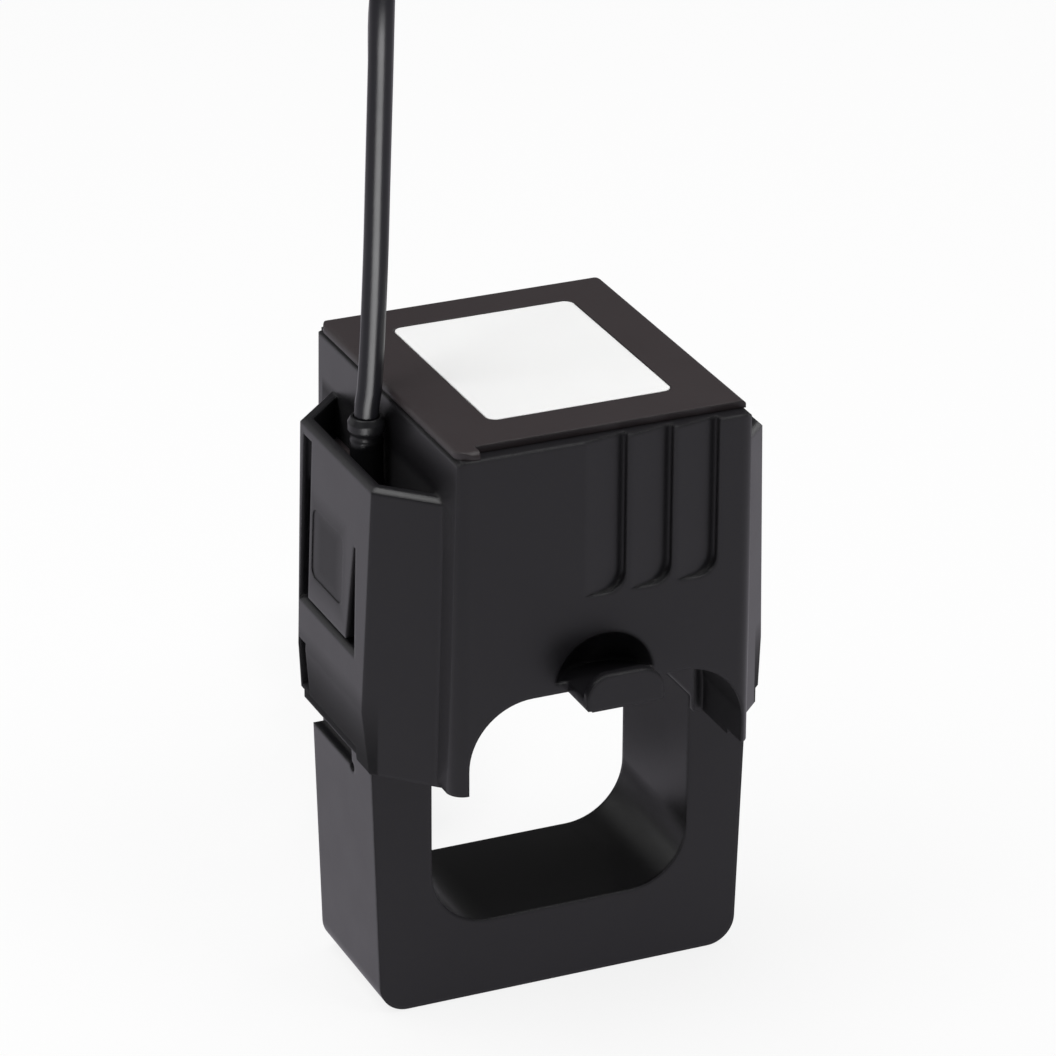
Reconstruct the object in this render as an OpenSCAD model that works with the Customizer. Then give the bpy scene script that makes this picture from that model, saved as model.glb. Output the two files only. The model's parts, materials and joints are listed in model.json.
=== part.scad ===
// Split core current transformer: a U-shaped yoke and a head that lifts off its two legs.
// Millimetres, +Z up, front towards -Y, origin in the middle of the yoke's base.
// The two core halves meet inside the legs, so that the window can be opened around a conductor.

/* [Window] */
// Clear width of the conductor window
window_w = 42; // [38:0.5:46]
// Clear height of the window from its floor to the crown
window_h = 44.1; // [40:0.1:48]
// Height of the window's floor above the base
window_floor = 12.6; // [12:0.1:15]
// Radius of the two lower corners of the window
window_r = 9.6; // [4:0.2:12]

/* [Yoke] */
// Depth of the yoke from front to back
yoke_d = 23.6; // [21:0.2:26]
// How much narrower each side of the yoke is at its base
yoke_draft = 1.3; // [0.4:0.1:1.5]
// Radius of the two lower outer corners
foot_r = 4.5; // [2:0.1:5]
// Thickness of the yoke's walls
yoke_wall = 1.5; // [1.2:0.1:1.8]
// Height of the leg tenons above the parting line
tenon_h = 22; // [21:0.5:24]
// Thickness of the tenon walls around the core
tenon_wall = 1; // [0.8:0.1:1.2]
// Height of the inner seat above the parting line
seat_rise = 2.1; // [1.6:0.1:4]
// Sliding clearance between tenon and socket
fit = 0.3; // [0.2:0.05:0.4]
// How far the yoke's sides stand out beyond the inner end faces of the head
yoke_lip = 0.9; // [0.3:0.1:1.2]
// Height of the pry slot in the outer side of each leg
pry_h = 3.4; // [2:0.1:4.4]
// Diameter of the keyhole at the front end of the pry slot
pry_hole = 1.7; // [1:0.1:2.4]

/* [Core] */
// Thickness of the strip-wound core
core_t = 4.2; // [3:0.1:4.4]
// Radius of the core's inner corners
core_r = 3.4; // [2:0.1:5]
// Clearance of the core in its channel
core_gap = 0.1; // [0.05:0.05:0.2]
// Gap between the two pairs of pole faces
air_gap = 0.05; // [0.02:0.01:0.2]
// Distance of the wound limb below the middle of the coil box
limb_drop = 2.5; // [1:0.1:3]
// Height of the pole faces above the parting line
pole_rise = 14.1; // [10:0.1:17]
// Thickness of the leaf spring under the lower core
spring_t = 0.5; // [0.3:0.1:0.8]
// Span of the leaf spring
spring_span = 30; // [24:1:36]
// Width of the leaf spring
spring_w = 14; // [8:0.5:18]

/* [Head] */
// Height of the head's skirt below the crown
skirt_h = 14.8; // [12:0.1:17]
// Height of the head above the crown, up to the top of its cover
head_h = 40.5; // [38:0.5:46]
// Depth of the coil box from front to back
box_d = 54.4; // [52:0.4:60]
// Overlap of the coil box over each side of the window, at its top
box_lap = 2.1; // [1.6:0.1:2.4]
// How much wider each side of the coil box is at its foot
box_draft = 1; // [0.2:0.1:1.4]
// Radius of the upright corners of the coil box
box_r = 2.6; // [1.5:0.1:3.6]
// Thickness of the front and back walls of the coil box
front_wall = 2.8; // [2.4:0.1:3.2]
// Height of the foot of these walls above the parting line
wall_rise = 0.8; // [0.2:0.1:1.6]
// Thickness of the crown above the window
crown_wall = 1.6; // [1.2:0.1:2.4]
// Radius of the arch corners in the front and back walls
arch_r = 10; // [4:0.5:14]
// How much wider the arches are than the window, on each side
arch_lap = 0.95; // [0.3:0.05:1.2]
// Shift of the arches to the right of the window's middle
arch_shift = 0.5; // [0:0.05:0.6]
// Thickness of the skirt that lines the window above the inner seat
skirt_t = 1.2; // [1:0.1:1.5]
// Thickness of the socket's front and back walls
socket_wall = 1.4; // [1.2:0.1:1.8]
// Thickness of the two end walls at their rim
end_wall = 1.4; // [1.2:0.1:1.8]
// How much further out each end wall stands at its belly
end_draft = 1.3; // [0.2:0.1:1.6]
// Height of the belly above the parting line
belly_rise = 10; // [6:0.5:16]
// How much each end wall draws in from its belly to its foot
belly_draft = 0.8; // [0.2:0.1:1]
// Distance of the end walls' rim below the top of the cover
rim_drop = 9.2; // [8:0.1:11]
// Chamfer on the outer edge of the rim
rim_chamfer = 0.6; // [0.2:0.1:0.8]

/* [End latch] */
// Room between tenon and end wall for the latch to work in
latch_room = 0.8; // [0.7:0.05:1]
// Clearance of the latch rib from the face of the tenon
latch_clear = 0.3; // [0.25:0.05:0.4]
// Height of the tongue's free end above the parting line
tongue_rise = 18.9; // [17:0.1:19]
// Gap below the tongue's free end
tongue_gap = 1; // [0.6:0.1:1.4]
// Width of the slot behind the tongue
tongue_slot = 3.3; // [1.5:0.1:3.8]
// Width of the wedge slot in front of the tongue, at its foot
wedge_w = 3.5; // [2:0.1:4]
// Height of the wedge slot
wedge_h = 15.6; // [10:0.2:18]
// Chamfer on the upper edge of the pad below the tongue
pad_chamfer = 0.9; // [0.3:0.1:1.2]
// Height of the recessed band at the foot of the end wall
band_h = 2.3; // [1:0.1:3]
// Depth of the recessed band
band_depth = 0.6; // [0.2:0.1:0.8]
// Depth of the press mark on the tongue
press_depth = 0.15; // [0.1:0.05:0.3]

/* [Hooks and flutes] */
// Width of the tie hooks under the front and back walls
hook_w = 12; // [8:0.5:14]
// Reach of the hooks in front of the wall
hook_reach = 7.5; // [5:0.1:9]
// Height of the hook's lip
hook_h = 5.3; // [4:0.1:7]
// Thickness of the hooks
hook_t = 1.5; // [1.2:0.1:2]
// Radius of the scoop above each hook
scoop_r = 9; // [7:0.1:9.4]
// Distance of the scoop's centre in front of the wall
scoop_out = 4.2; // [3.6:0.1:5]
// Spacing of the three grip flutes
flute_pitch = 7.3; // [6:0.1:7.6]
// Depth of each flute at its step
flute_depth = 1.3; // [0.6:0.1:1.6]
// Height of the flutes below the top of the box wall
flute_h = 24.5; // [16:0.5:28]
// Radius at the lower end of each flute
flute_r = 3; // [1:0.1:4]

/* [Cover and label] */
// Thickness of the cover plate above the box walls
cover_t = 1.2; // [1:0.1:1.6]
// Radius along the cover's upper edge
cover_r = 0.8; // [0.4:0.1:1]
// Inset of the cover's edge from the box walls
cover_inset = 0.1; // [0.05:0.05:0.3]
// Width of the ledge that the cover leaves free on the front wall
ledge_w = 2.3; // [1.2:0.1:2.4]
// Length of the cover's ear beside the ledge
ear_w = 3.4; // [2:0.1:6]
// Height of the shadow gap under the sides of the cover
seam_h = 0.5; // [0.2:0.05:0.6]
// Depth of the shadow gap
seam_d = 0.6; // [0.3:0.05:0.8]
// Width of the label
label_w = 29; // [20:0.5:34]
// Depth of the label from front to back
label_d = 37; // [24:0.5:44]
// Thickness of the label
label_t = 0.2; // [0.1:0.05:0.3]

/* [Coil] */
// Thickness of the bobbin's tube and flanges
bobbin_wall = 1; // [0.8:0.1:1.3]
// Clearance between the core limb and the bobbin
bobbin_gap = 0.2; // [0.1:0.05:0.4]
// Half height of the winding above and below the limb's middle
winding_h = 12; // [9:0.2:13]
// Half depth of the winding in front of and behind the limb's middle
winding_d = 19.4; // [16:0.2:19.6]
// Thickness of the insulating wrap
wrap_t = 0.4; // [0.2:0.1:0.6]
// Diameter of the lead wires
lead_dia = 0.8; // [0.6:0.05:1]
// Wall of the splice sleeves
sleeve_wall = 0.3; // [0.2:0.05:0.35]

/* [Cable] */
// Outer diameter of the output cable
cable_dia = 3.7; // [3:0.1:4]
// Diameter of the boot's upper ring
boot_dia = 5.6; // [5.2:0.1:5.7]
// Height of the boot above the end seal
boot_h = 11.6; // [9:0.2:13]
// Thickness of the end seal round the cable
seal_t = 1.8; // [1.4:0.1:2.2]
// Depth of the cable well below the rim, down to the seal
well_drop = 6.5; // [5:0.1:7]
// Diameter of the two insulated cable cores
strand_dia = 1.5; // [1.2:0.1:1.7]
// Free length of the two insulated cores
strand_l = 6; // [4:0.5:8]
// Length of the wire ferrules
ferrule_l = 7; // [5:0.5:9]
// Width of the folded cable hank
hank_w = 15; // [12:0.5:16]
// Radius of the folds at the two ends of the hank
hank_r = 13; // [12:0.5:14]
// Distance between the centres of the two folds
hank_span = 56; // [44:1:60]
// Half height of the hank at its tied waist
waist_h = 4; // [3:0.2:5]
// Thickness of the tie round the hank
tie_t = 1.2; // [0.8:0.1:1.6]

/* [Hidden] */
$fn = 64;
eps = 0.01;
far = 60;

// Levels
crown_z = window_floor + window_h;
foot_z = crown_z - skirt_h;
seat_z = foot_z + seat_rise;
pole_z = foot_z + pole_rise;
tenon_z = foot_z + tenon_h;
socket_z = tenon_z + 0.5;
top_z = crown_z + head_h;
wall_z = top_z - cover_t;
rim_z = top_z - rim_drop;
seal_z = rim_z - well_drop;
well_z = seal_z - seal_t;
cavity_z = crown_z + crown_wall;
belly_z = foot_z + belly_rise;

// Stack across one leg, from the window outwards
window_half = window_w / 2;
socket_in = window_half + skirt_t;
tenon_in = socket_in + fit;
core_in = tenon_in + tenon_wall + core_gap;
core_out = core_in + core_t;
tenon_out = core_out + core_gap + tenon_wall;
end_in = tenon_out + latch_room;
rim_half = end_in + end_wall;
end_half = rim_half + end_draft;
foot_half = end_half - belly_draft;
yoke_half = end_in + yoke_lip;
base_half = yoke_half - yoke_draft;

// Depths
yoke_y = yoke_d / 2;
core_y = yoke_y - yoke_wall - core_gap;
socket_y = yoke_y + fit;
end_y = socket_y + socket_wall;
diag_reach = rim_half + end_y + 0.5;
box_y = box_d / 2;
cavity_y = box_y - front_wall;
cavity_half = window_half;
box_top = window_half + box_lap;
box_foot = box_top + box_draft;

// Core and coil
limb_mid = (cavity_z + wall_z) / 2 - limb_drop;
lower_top = window_floor - yoke_wall - core_gap;
lower_bottom = lower_top - core_t;
upper_bottom = limb_mid - core_t / 2;
upper_top = limb_mid + core_t / 2;
throat_x = core_t + 0.6;
throat_y = 2 * core_y + 0.8;
tube_y = core_y + bobbin_gap + bobbin_wall;
tube_z = core_t / 2 + bobbin_gap + bobbin_wall;
flange_out = cavity_half - 2.2;
flange_in = flange_out - bobbin_wall;
flange_z = (wall_z - cavity_z) / 2 - limb_drop - 2;
spring_rise = lower_bottom - yoke_wall - spring_t;
spring_r = (spring_span * spring_span / 4 + spring_rise * spring_rise) / (2 * spring_rise);

// Latch
tongue_z = foot_z + tongue_rise;
rib_reach = latch_room - latch_clear;
slot_end = diag_reach - end_half - 0.2;
slot_start = slot_end - tongue_slot;
end_slope = atan(end_draft / (rim_z - belly_z));

// Cable
boot_x = -(core_in + core_out) / 2 - 0.5;
boot_hole = cable_dia + 0.2;
neck_dia = boot_hole + 1;
lead_z = (upper_top + core_gap + seal_z - seal_t) / 2;
hank_turn = atan2(0.928, 0.374);
hank_x = -4.5;
hank_y = 51;
tail_l = 24;
tail_y = (cable_dia - hank_w) / 2 + 0.3;

// Route of the cable from the boot over the rear and down to the hank
route = [
    [boot_x, 0, well_z + 0.6],
    [boot_x, 0, seal_z],
    [boot_x, 0, seal_z + boot_h],
    [-25.6, 0, 97],
    [-25.2, 0, 104],
    [-24.9, 0, 110],
    [-24.5, 0, 119],
    [-24.2, 0, 128],
    [-23.9, 0, 137],
    [-23.6, 0, 146],
    [-23.3, 0, 156],
    [-22.2, 2, 164],
    [-20.4, 6, 170],
    [-18, 12, 175],
    [-15.1, 19, 177],
    [-12.2, 26, 175],
    [-9.8, 32, 170],
    [-8.2, 36, 164],
    [-7.9, 37, 157],
    [-8, 37, 148],
    [-8.2, 38, 139],
    [-8.3, 38, 130],
    [-8.2, 39, 120],
    [-8.1, 40, 110],
    [-8.3, 40, 100],
    [-8.5, 41, 90],
    [-9.4, 42, 80],
    [-10.8, 42.6, 70],
    [-12.2, 43.4, 60],
    [-13.1, 44, 50],
    [-13.3, 44.1, 40],
    [-12.9, 45.1, 34.6],
    [-12.1, 47.1, 30],
    [-10.9, 50, 26.8]];

function unit(v) = v / norm(v);
function tangent(p, i) =
    i == 0 ? unit(p[1] - p[0]) :
    i == len(p) - 1 ? unit(p[i] - p[i - 1]) :
    unit(unit(p[i + 1] - p[i]) + unit(p[i] - p[i - 1]));
function carried(p, i, last) =
    i == len(p) ? [] :
    let (t = tangent(p, i), n = unit(last - (last * t) * t)) concat([n], carried(p, i + 1, n));

// Round tube swept along a list of points
module tube(p, r) {
    sides = 8;
    last = len(p) - 1;
    side_dirs = carried(p, 0, [0, 1, 0.1]);
    rings = [for (i = [0:last]) let (n = side_dirs[i], b = cross(tangent(p, i), n))
        for (k = [0:sides - 1]) p[i] + r * (cos(k * 360 / sides) * n + sin(k * 360 / sides) * b)];
    skin = [for (i = [0:last - 1]) for (k = [0:sides - 1])
        let (a = i * sides + k, b = i * sides + (k + 1) % sides)
        for (f = [[a, a + sides, b + sides], [a, b + sides, b]]) f];
    first_cap = [for (k = [0:sides - 1]) k];
    last_cap = [for (k = [sides - 1:-1:0]) last * sides + k];
    polyhedron(rings, concat(skin, [first_cap], [last_cap]), convexity = 10);
}

// Profile in the X-Z plane, extruded along Y about the middle
module along_y(d) {
    rotate([90, 0, 0]) linear_extrude(d, center = true) children();
}

// Profile in the Y-Z plane, extruded along X about the middle
module along_x(d) {
    rotate([90, 0, 90]) linear_extrude(d, center = true) children();
}

// Plan in the X-Y plane, extruded from one level to another
module between(z0, z1) {
    translate([0, 0, z0]) linear_extrude(z1 - z0) children();
}

// The same thing again on the other end, turned half a turn
module both_ends() {
    children();
    rotate([0, 0, 180]) children();
}

module rounded_rect(w, h, r) {
    square([w - 2 * r, h], center = true);
    square([w, h - 2 * r], center = true);
    for (x = [-1, 1], y = [-1, 1]) translate([x * (w / 2 - r), y * (h / 2 - r)]) circle(r);
}

// Upright profile with two rounded lower corners
module cup(half, z0, z1, r) {
    translate([-half, z0 + r]) square([2 * half, z1 - z0 - r]);
    translate([r - half, z0]) square([2 * half - 2 * r, r + eps]);
    for (x = [-1, 1]) translate([x * (half - r), z0 + r]) circle(r);
}

// The same profile with its rounded corners at the top
module cap(half, z0, z1, r) {
    translate([0, z0 + z1]) mirror([0, 1]) cup(half, z0, z1, r);
}

module trapezoid(half0, z0, half1, z1) {
    polygon([[-half0, z0], [half0, z0], [half1, z1], [-half1, z1]]);
}

// Front view of the yoke with its drafted sides and rounded foot
module yoke_outline() {
    slope = atan(yoke_draft / foot_z);
    cut = foot_r / tan((90 + slope) / 2);
    side = [base_half + cut * sin(slope), cut * cos(slope)];
    polygon([[cut - base_half, 0], [base_half - cut, 0], side, [yoke_half, foot_z],
        [-yoke_half, foot_z], [-side[0], side[1]]]);
    for (x = [-1, 1]) translate([x * (base_half - cut), foot_r]) circle(foot_r);
}

// Front view of the channel for the lower core and its spring
module channel_outline(ease) {
    difference() {
        cup(core_out + core_gap - ease, yoke_wall + ease, tenon_z + 1, foot_r - 1);
        cup(core_in - core_gap + ease, lower_top + core_gap - ease, tenon_z + 2, core_r);
    }
}

// Pry slot under the left end of the head, with a keyhole at its front end
module pry_slot() {
    y0 = -yoke_y / 3;
    z0 = foot_z - pry_h;
    translate([-yoke_half - 1, y0, z0]) cube([yoke_half - tenon_out + 1, far, far]);
    translate([-yoke_half - 1, y0, z0]) rotate([0, 90, 0])
        cylinder(d = pry_hole, h = yoke_half - tenon_out + 1);
}

module yoke_housing() {
    color("#2b2a2e") difference() {
        union() {
            along_y(yoke_d) yoke_outline();
            for (x = [-1, 1]) {
                // Inner seat of the leg
                translate([x * (window_half + tenon_out) / 2, 0, seat_z - seat_rise])
                    cube([tenon_out - window_half, yoke_d, 2 * seat_rise], center = true);
                // Tenon
                translate([x * (tenon_in + tenon_out) / 2, 0, foot_z])
                    cube([tenon_out - tenon_in, yoke_d, 2 * tenon_h], center = true);
            }
        }
        along_y(far) cup(window_half, window_floor, tenon_z + 5, window_r);
        translate([0, yoke_wall, 0]) along_y(yoke_d) channel_outline(0);
        // Wider throat above the pole faces, for the upper core to enter
        for (x = [-1, 1])
            translate([x * (core_in + core_out) / 2, 0, pole_z + far / 2 - 1])
                cube([throat_x, throat_y, far], center = true);
        both_ends() {
            pry_slot();
            // Catch groove for the latch rib
            translate([-tenon_out - 1, -yoke_y + 4.5, tongue_z]) cube([1.5, yoke_d - 6, 2.4]);
        }
    }
}

module yoke_cover() {
    color("#2f2e32") difference() {
        translate([0, yoke_y - yoke_wall / 2, 0]) along_y(yoke_wall) channel_outline(0.05);
        translate([-far, -far, pole_z - 2]) cube(2 * far);
    }
}

module lower_core() {
    color("#8d9096") along_y(2 * core_y) difference() {
        cup(core_out, lower_bottom, pole_z, core_r + core_t);
        cup(core_in, lower_top, pole_z + 1, core_r);
    }
}

module core_spring() {
    color("#b9bcc2") translate([0, 0, yoke_wall]) along_y(spring_w) intersection() {
        translate([0, spring_rise - spring_r]) difference() {
            circle(spring_r + spring_t, $fn = 128);
            circle(spring_r, $fn = 128);
        }
        translate([-spring_span / 2, 0]) square([spring_span, spring_rise + spring_t + 1]);
    }
}

// Plan of the head's ends with their diagonal walls
module ends_plan() {
    y0 = diag_reach - end_half;
    y1 = diag_reach - box_top;
    polygon([[end_half, -y0], [end_half, y0], [box_top, y1], [-box_top, y1],
        [-end_half, y0], [-end_half, -y0], [-box_top, -y1], [box_top, -y1]]);
}

// Chamfer along the rim of an end or diagonal wall that faces a given way
module rim_cut(turn, reach) {
    rotate([0, 0, turn]) along_y(far)
        polygon([[reach - rim_chamfer, rim_z], [reach + 2, rim_z], [reach + 2, rim_z - rim_chamfer - 2]]);
}

// Ends of the head, with a belly between foot and rim
module ends_block() {
    difference() {
        intersection() {
            between(foot_z, rim_z) ends_plan();
            along_y(far) {
                trapezoid(foot_half, foot_z, end_half, belly_z);
                trapezoid(end_half, belly_z, rim_half, rim_z);
            }
        }
        for (turn = [0, 180]) rim_cut(turn, rim_half);
        for (turn = [45, 135, 225, 315]) rim_cut(turn, diag_reach / sqrt(2));
    }
}

module coil_box() {
    intersection() {
        between(foot_z + wall_rise, wall_z) rounded_rect(2 * box_foot, box_d, box_r);
        along_y(box_d + 2) trapezoid(box_foot, foot_z, box_top, wall_z);
    }
}

// Triangular pocket that lightens a diagonal corner from below
module corner_pocket() {
    x0 = box_foot + 0.5;
    run = rim_half - x0 - 2;
    between(foot_z - 1, rim_z - 14) polygon([[x0, end_y], [x0 + run, end_y], [x0, end_y + run]]);
}

// Open-topped well in the left end, for the seal and the cable
module well(ease) {
    e = rim_half - 1.6 - ease;
    inner = box_top + 0.15 + ease;
    y0 = end_y - 0.66 - ease;
    y1 = end_y + rim_half - inner - 2.26 - 1.4 * ease;
    polygon([[-e, -y0], [-e, y0], [-inner, y1], [-inner, -y1]]);
}

// Cuts in the left end wall that free the latch tongue
module tongue_cuts() {
    reach = end_half - end_in + 1;
    x0 = -end_half - 1;
    front = -end_y + 4.3;
    gap_z = tongue_z - tongue_gap;
    translate([x0, front, gap_z]) cube([reach, slot_end - front, tongue_gap]);
    // Slot behind the tongue, blind where it passes the cable well
    translate([x0, slot_start, gap_z]) cube([reach, tongue_slot, well_z - 1 - gap_z]);
    translate([x0, slot_start, gap_z]) cube([end_draft + 2, tongue_slot, rim_z - 2 - gap_z]);
    // Wedge slot in front of the tongue
    translate([x0 + reach / 2, 0, 0]) along_x(reach)
        polygon([[front, gap_z], [front + wedge_w, gap_z],
            [front + 1.2, tongue_z + wedge_h], [front + 0.6, tongue_z + wedge_h]]);
    // Release notch at the rear corner
    translate([x0, slot_start + 0.6, foot_z + 3.1]) cube([reach, tongue_slot - 0.6, 8]);
    // Chamfered upper edge of the pad
    translate([0, (front + slot_end) / 2, 0]) along_y(slot_end - front)
        polygon([[x0, gap_z + eps], [pad_chamfer - end_half, gap_z + eps], [x0, gap_z - 1 - pad_chamfer]]);
    // Recessed band at the foot
    translate([x0, front + 0.7, foot_z - 1]) cube([end_half - foot_half + 1 + band_depth, far, band_h + 1]);
    // Shallow press mark on the tongue
    press_z = tongue_z + 9.7;
    translate([-rim_half - tan(end_slope) * (rim_z - press_z), 2.2, press_z]) rotate([0, end_slope, 0])
        along_x(2 * press_depth) rounded_rect(12, 11, 1.5);
}

// Latch rib inside the left tongue, with a sloping lower side
module latch_rib() {
    translate([0, 2.2, 0]) along_y(12)
        polygon([[-end_in - eps, tongue_z], [-end_in + rib_reach, tongue_z + 0.8],
            [-end_in + rib_reach, tongue_z + 1.4], [-end_in - eps, tongue_z + 1.9]]);
}

// Hook under the front wall that takes a cable tie
module tie_hook() {
    y0 = -box_y - hook_reach;
    z0 = crown_z + 0.2;
    translate([-hook_w / 2, y0, z0]) cube([hook_w, hook_reach + 1, hook_t]);
    translate([0, y0 + hook_t / 2, 0]) along_y(hook_t) cap(hook_w / 2, z0, z0 + hook_h, 3.5);
}

module scoop(grow) {
    translate([0, -box_y - scoop_out, crown_z + 0.5]) sphere(scoop_r + grow, $fn = 96);
}

// Saw-tooth grip flute in the front wall, deepest at its right-hand step
module flute(x) {
    z0 = wall_z - flute_h;
    reach = flute_pitch - 0.7;
    intersection() {
        between(z0, wall_z + 1)
            polygon([[x, -box_y + flute_depth], [x, -box_y - 1], [x - reach, -box_y - 1],
                [x - reach, -box_y]]);
        along_y(far * 2) translate([x - far, 0]) difference() {
            square([far, wall_z + 2]);
            translate([far - flute_r, z0 - 1]) difference() {
                square([flute_r + 1, flute_r + 1]);
                translate([0, flute_r + 1]) circle(flute_r);
            }
        }
    }
}

module head_housing() {
    color("#2b2a2e") difference() {
        union() {
            difference() {
                union() {
                    ends_block();
                    coil_box();
                }
                // Coil cavity, open at the top
                between(cavity_z, wall_z + 1) rounded_rect(2 * cavity_half, 2 * cavity_y, 1);
            }
            // Material behind the scoops
            both_ends() intersection() {
                scoop(1.4);
                translate([-far, -cavity_y - 1, crown_z + 0.5]) cube([2 * far, cavity_y, 20]);
            }
            both_ends() tie_hook();
        }
        // Window and arches
        for (y = [-1, 1]) translate([arch_shift, y * (end_y + far) / 2, 0]) along_y(far - end_y)
            cap(window_half + arch_lap, foot_z - 20, crown_z, arch_r);
        translate([-window_half, -end_y - eps, foot_z - 20])
            cube([window_w, 2 * end_y + 2 * eps, crown_z - foot_z + 20]);
        both_ends() {
            // Socket for the leg tenon
            translate([-end_in, -socket_y, foot_z - 1])
                cube([end_in - socket_in, 2 * socket_y, socket_z - foot_z + 1]);
            translate([-end_in, -socket_y, foot_z - 1])
                cube([end_in - window_half + 1, 2 * socket_y, seat_rise + 1]);
            // Room behind the tongue
            translate([-end_in, -socket_y, socket_z - 1])
                cube([latch_room, 2 * socket_y, well_z - socket_z]);
            between(well_z, rim_z + 1) well(0);
            // Chamber for the leads below the seal
            between(upper_top + core_gap + 1, well_z + 1) well(1);
            corner_pocket();
            mirror([0, 1, 0]) corner_pocket();
            tongue_cuts();
            intersection() {
                scoop(0);
                translate([-far, -box_y - 0.2, crown_z + 0.2 + hook_t]) cube([2 * far, 20, 20]);
            }
            for (i = [0:2]) flute(3.2 + i * flute_pitch);
        }
        // Channel for the upper core
        along_y(2 * core_y + 2 * core_gap) difference() {
            cap(core_out + core_gap, crown_z, upper_top + core_gap, core_r + core_t);
            cap(core_in - core_gap, crown_z - 1, upper_bottom - core_gap, core_r);
        }
        // Lead holes from the well into the coil cavity
        for (y = [-1.8, 1.8]) translate([-box_top - 2, y, lead_z]) rotate([0, 90, 0])
            cylinder(d = lead_dia + 0.4, h = 2 + box_lap + 1);
        // Shadow gap below the sides of the cover
        both_ends() translate([-far, -far, wall_z - seam_h]) cube([far - box_top + seam_d, 2 * far, far]);
    }
    color("#2b2a2e") both_ends() latch_rib();
}

module top_cover() {
    w = 2 * (box_top - cover_inset);
    d = box_d - 2 * cover_inset;
    color("#323135") difference() {
        union() {
            intersection() {
                between(wall_z, top_z) rounded_rect(w, d, box_r);
                along_y(far * 2) cap(w / 2, wall_z - 3, top_z, cover_r);
                along_x(far * 2) cap(d / 2, wall_z - 3, top_z, cover_r);
            }
            // Locating rim inside the box
            difference() {
                between(wall_z - 1.2, wall_z + eps)
                    rounded_rect(2 * cavity_half - 0.3, 2 * cavity_y - 0.3, 0.85);
                between(wall_z - 2, wall_z + 1)
                    rounded_rect(2 * cavity_half - 2.7, 2 * cavity_y - 2.7, 0.5);
            }
        }
        // Ledge at the front, beside an ear
        translate([ear_w - box_top, -box_y - 1, wall_z]) cube([far, ledge_w + 1, far]);
        translate([0.4, 1.2, 0]) between(top_z - 0.25, top_z + 1)
            rounded_rect(label_w + 0.4, label_d + 0.4, 1.7);
    }
}

module rating_label() {
    color("#f4f4f2") translate([0.4, 1.2, 0]) between(top_z - 0.25, top_z - 0.25 + label_t)
        rounded_rect(label_w, label_d, 1.5);
}

module upper_core() {
    color("#8d9096") along_y(2 * core_y) difference() {
        cap(core_out, pole_z + air_gap, upper_top, core_r + core_t);
        cap(core_in, pole_z - 1, upper_bottom, core_r);
    }
}

// Cross-section of the coil in the Y-Z plane
module coil_section(half_y, half_z, r) {
    translate([0, limb_mid]) rounded_rect(2 * half_y, 2 * half_z, r);
}

module bobbin() {
    color("#d8d2c0") difference() {
        union() {
            along_x(2 * flange_out) coil_section(tube_y, tube_z, 1);
            for (x = [-1, 1]) translate([x * (flange_out + flange_in) / 2, 0, 0])
                along_x(bobbin_wall) coil_section(winding_d + wrap_t + 0.6, flange_z, 3);
        }
        along_x(far) translate([0, limb_mid])
            square([2 * (core_y + bobbin_gap), core_t + 2 * bobbin_gap], center = true);
        // Lead slots in the left flange
        for (y = [-3.5, 3.5])
            translate([-flange_out - 1, y - 0.8, limb_mid + winding_h + wrap_t])
                cube([bobbin_wall + 2, 1.6, flange_z]);
    }
}

module secondary_winding() {
    color("#a8572c") along_x(2 * flange_in - 0.2) difference() {
        coil_section(winding_d, winding_h, 4);
        coil_section(tube_y + 0.1, tube_z + 0.1, 1);
    }
}

module winding_wrap() {
    color("#d9b93a") along_x(2 * flange_in - 0.6) difference() {
        coil_section(winding_d + wrap_t, winding_h + wrap_t, 4.4);
        coil_section(winding_d + 0.05, winding_h + 0.05, 4.05);
    }
}

// Insulated lead from the cable through the side wall and a sleeve to the winding
module lead(side) {
    x = -cavity_half + 1.1;
    z = limb_mid + winding_h + wrap_t + lead_dia / 2 + 0.1;
    tube([[boot_x + 0.4, side * 0.9, well_z + 0.4],
        [boot_x + 0.6, side * 1.1, lead_z + 0.5],
        [boot_x + 1.2, side * 1.5, lead_z],
        [-box_top, side * 1.8, lead_z],
        [-cavity_half + 0.1, side * 1.8, lead_z],
        [x - 0.1, side * 2.3, lead_z + 0.5],
        [x, side * 3.3, lead_z + 1.4],
        [x, side * 3.5, lead_z + 2.4],
        [x, side * 3.5, z - 0.8],
        [x + 0.3, side * 3.5, z + 0.2],
        [x + 1.2, side * 3.5, z + 0.3],
        [-flange_in + 0.6, side * 3.5, z + 0.3],
        [-flange_in + 3, side * 3.5, z]], lead_dia / 2);
}

module lead_wire_start() {
    color("#7a4a2a") lead(-1);
}

module lead_wire_finish() {
    color("#e6e4dc") lead(1);
}

module splice_sleeves() {
    for (y = [-3.5, 3.5]) color("#1d1c1f") translate([-cavity_half + 1.1, y, lead_z + 2.6])
        difference() {
            cylinder(d = lead_dia + 0.1 + 2 * sleeve_wall, h = 4, $fn = 32);
            translate([0, 0, -1]) cylinder(d = lead_dia + 0.1, h = 6, $fn = 32);
        }
}

module cable_end_seal() {
    color("#242327") difference() {
        between(well_z, seal_z) well(0.05);
        translate([boot_x, 0, well_z - 1]) cylinder(d = neck_dia + 0.1, h = seal_t + 2);
    }
}

module blank_end_seal() {
    color("#2b2a2e") rotate([0, 0, 180]) between(well_z, rim_z - 0.3) well(0.05);
}

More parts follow.
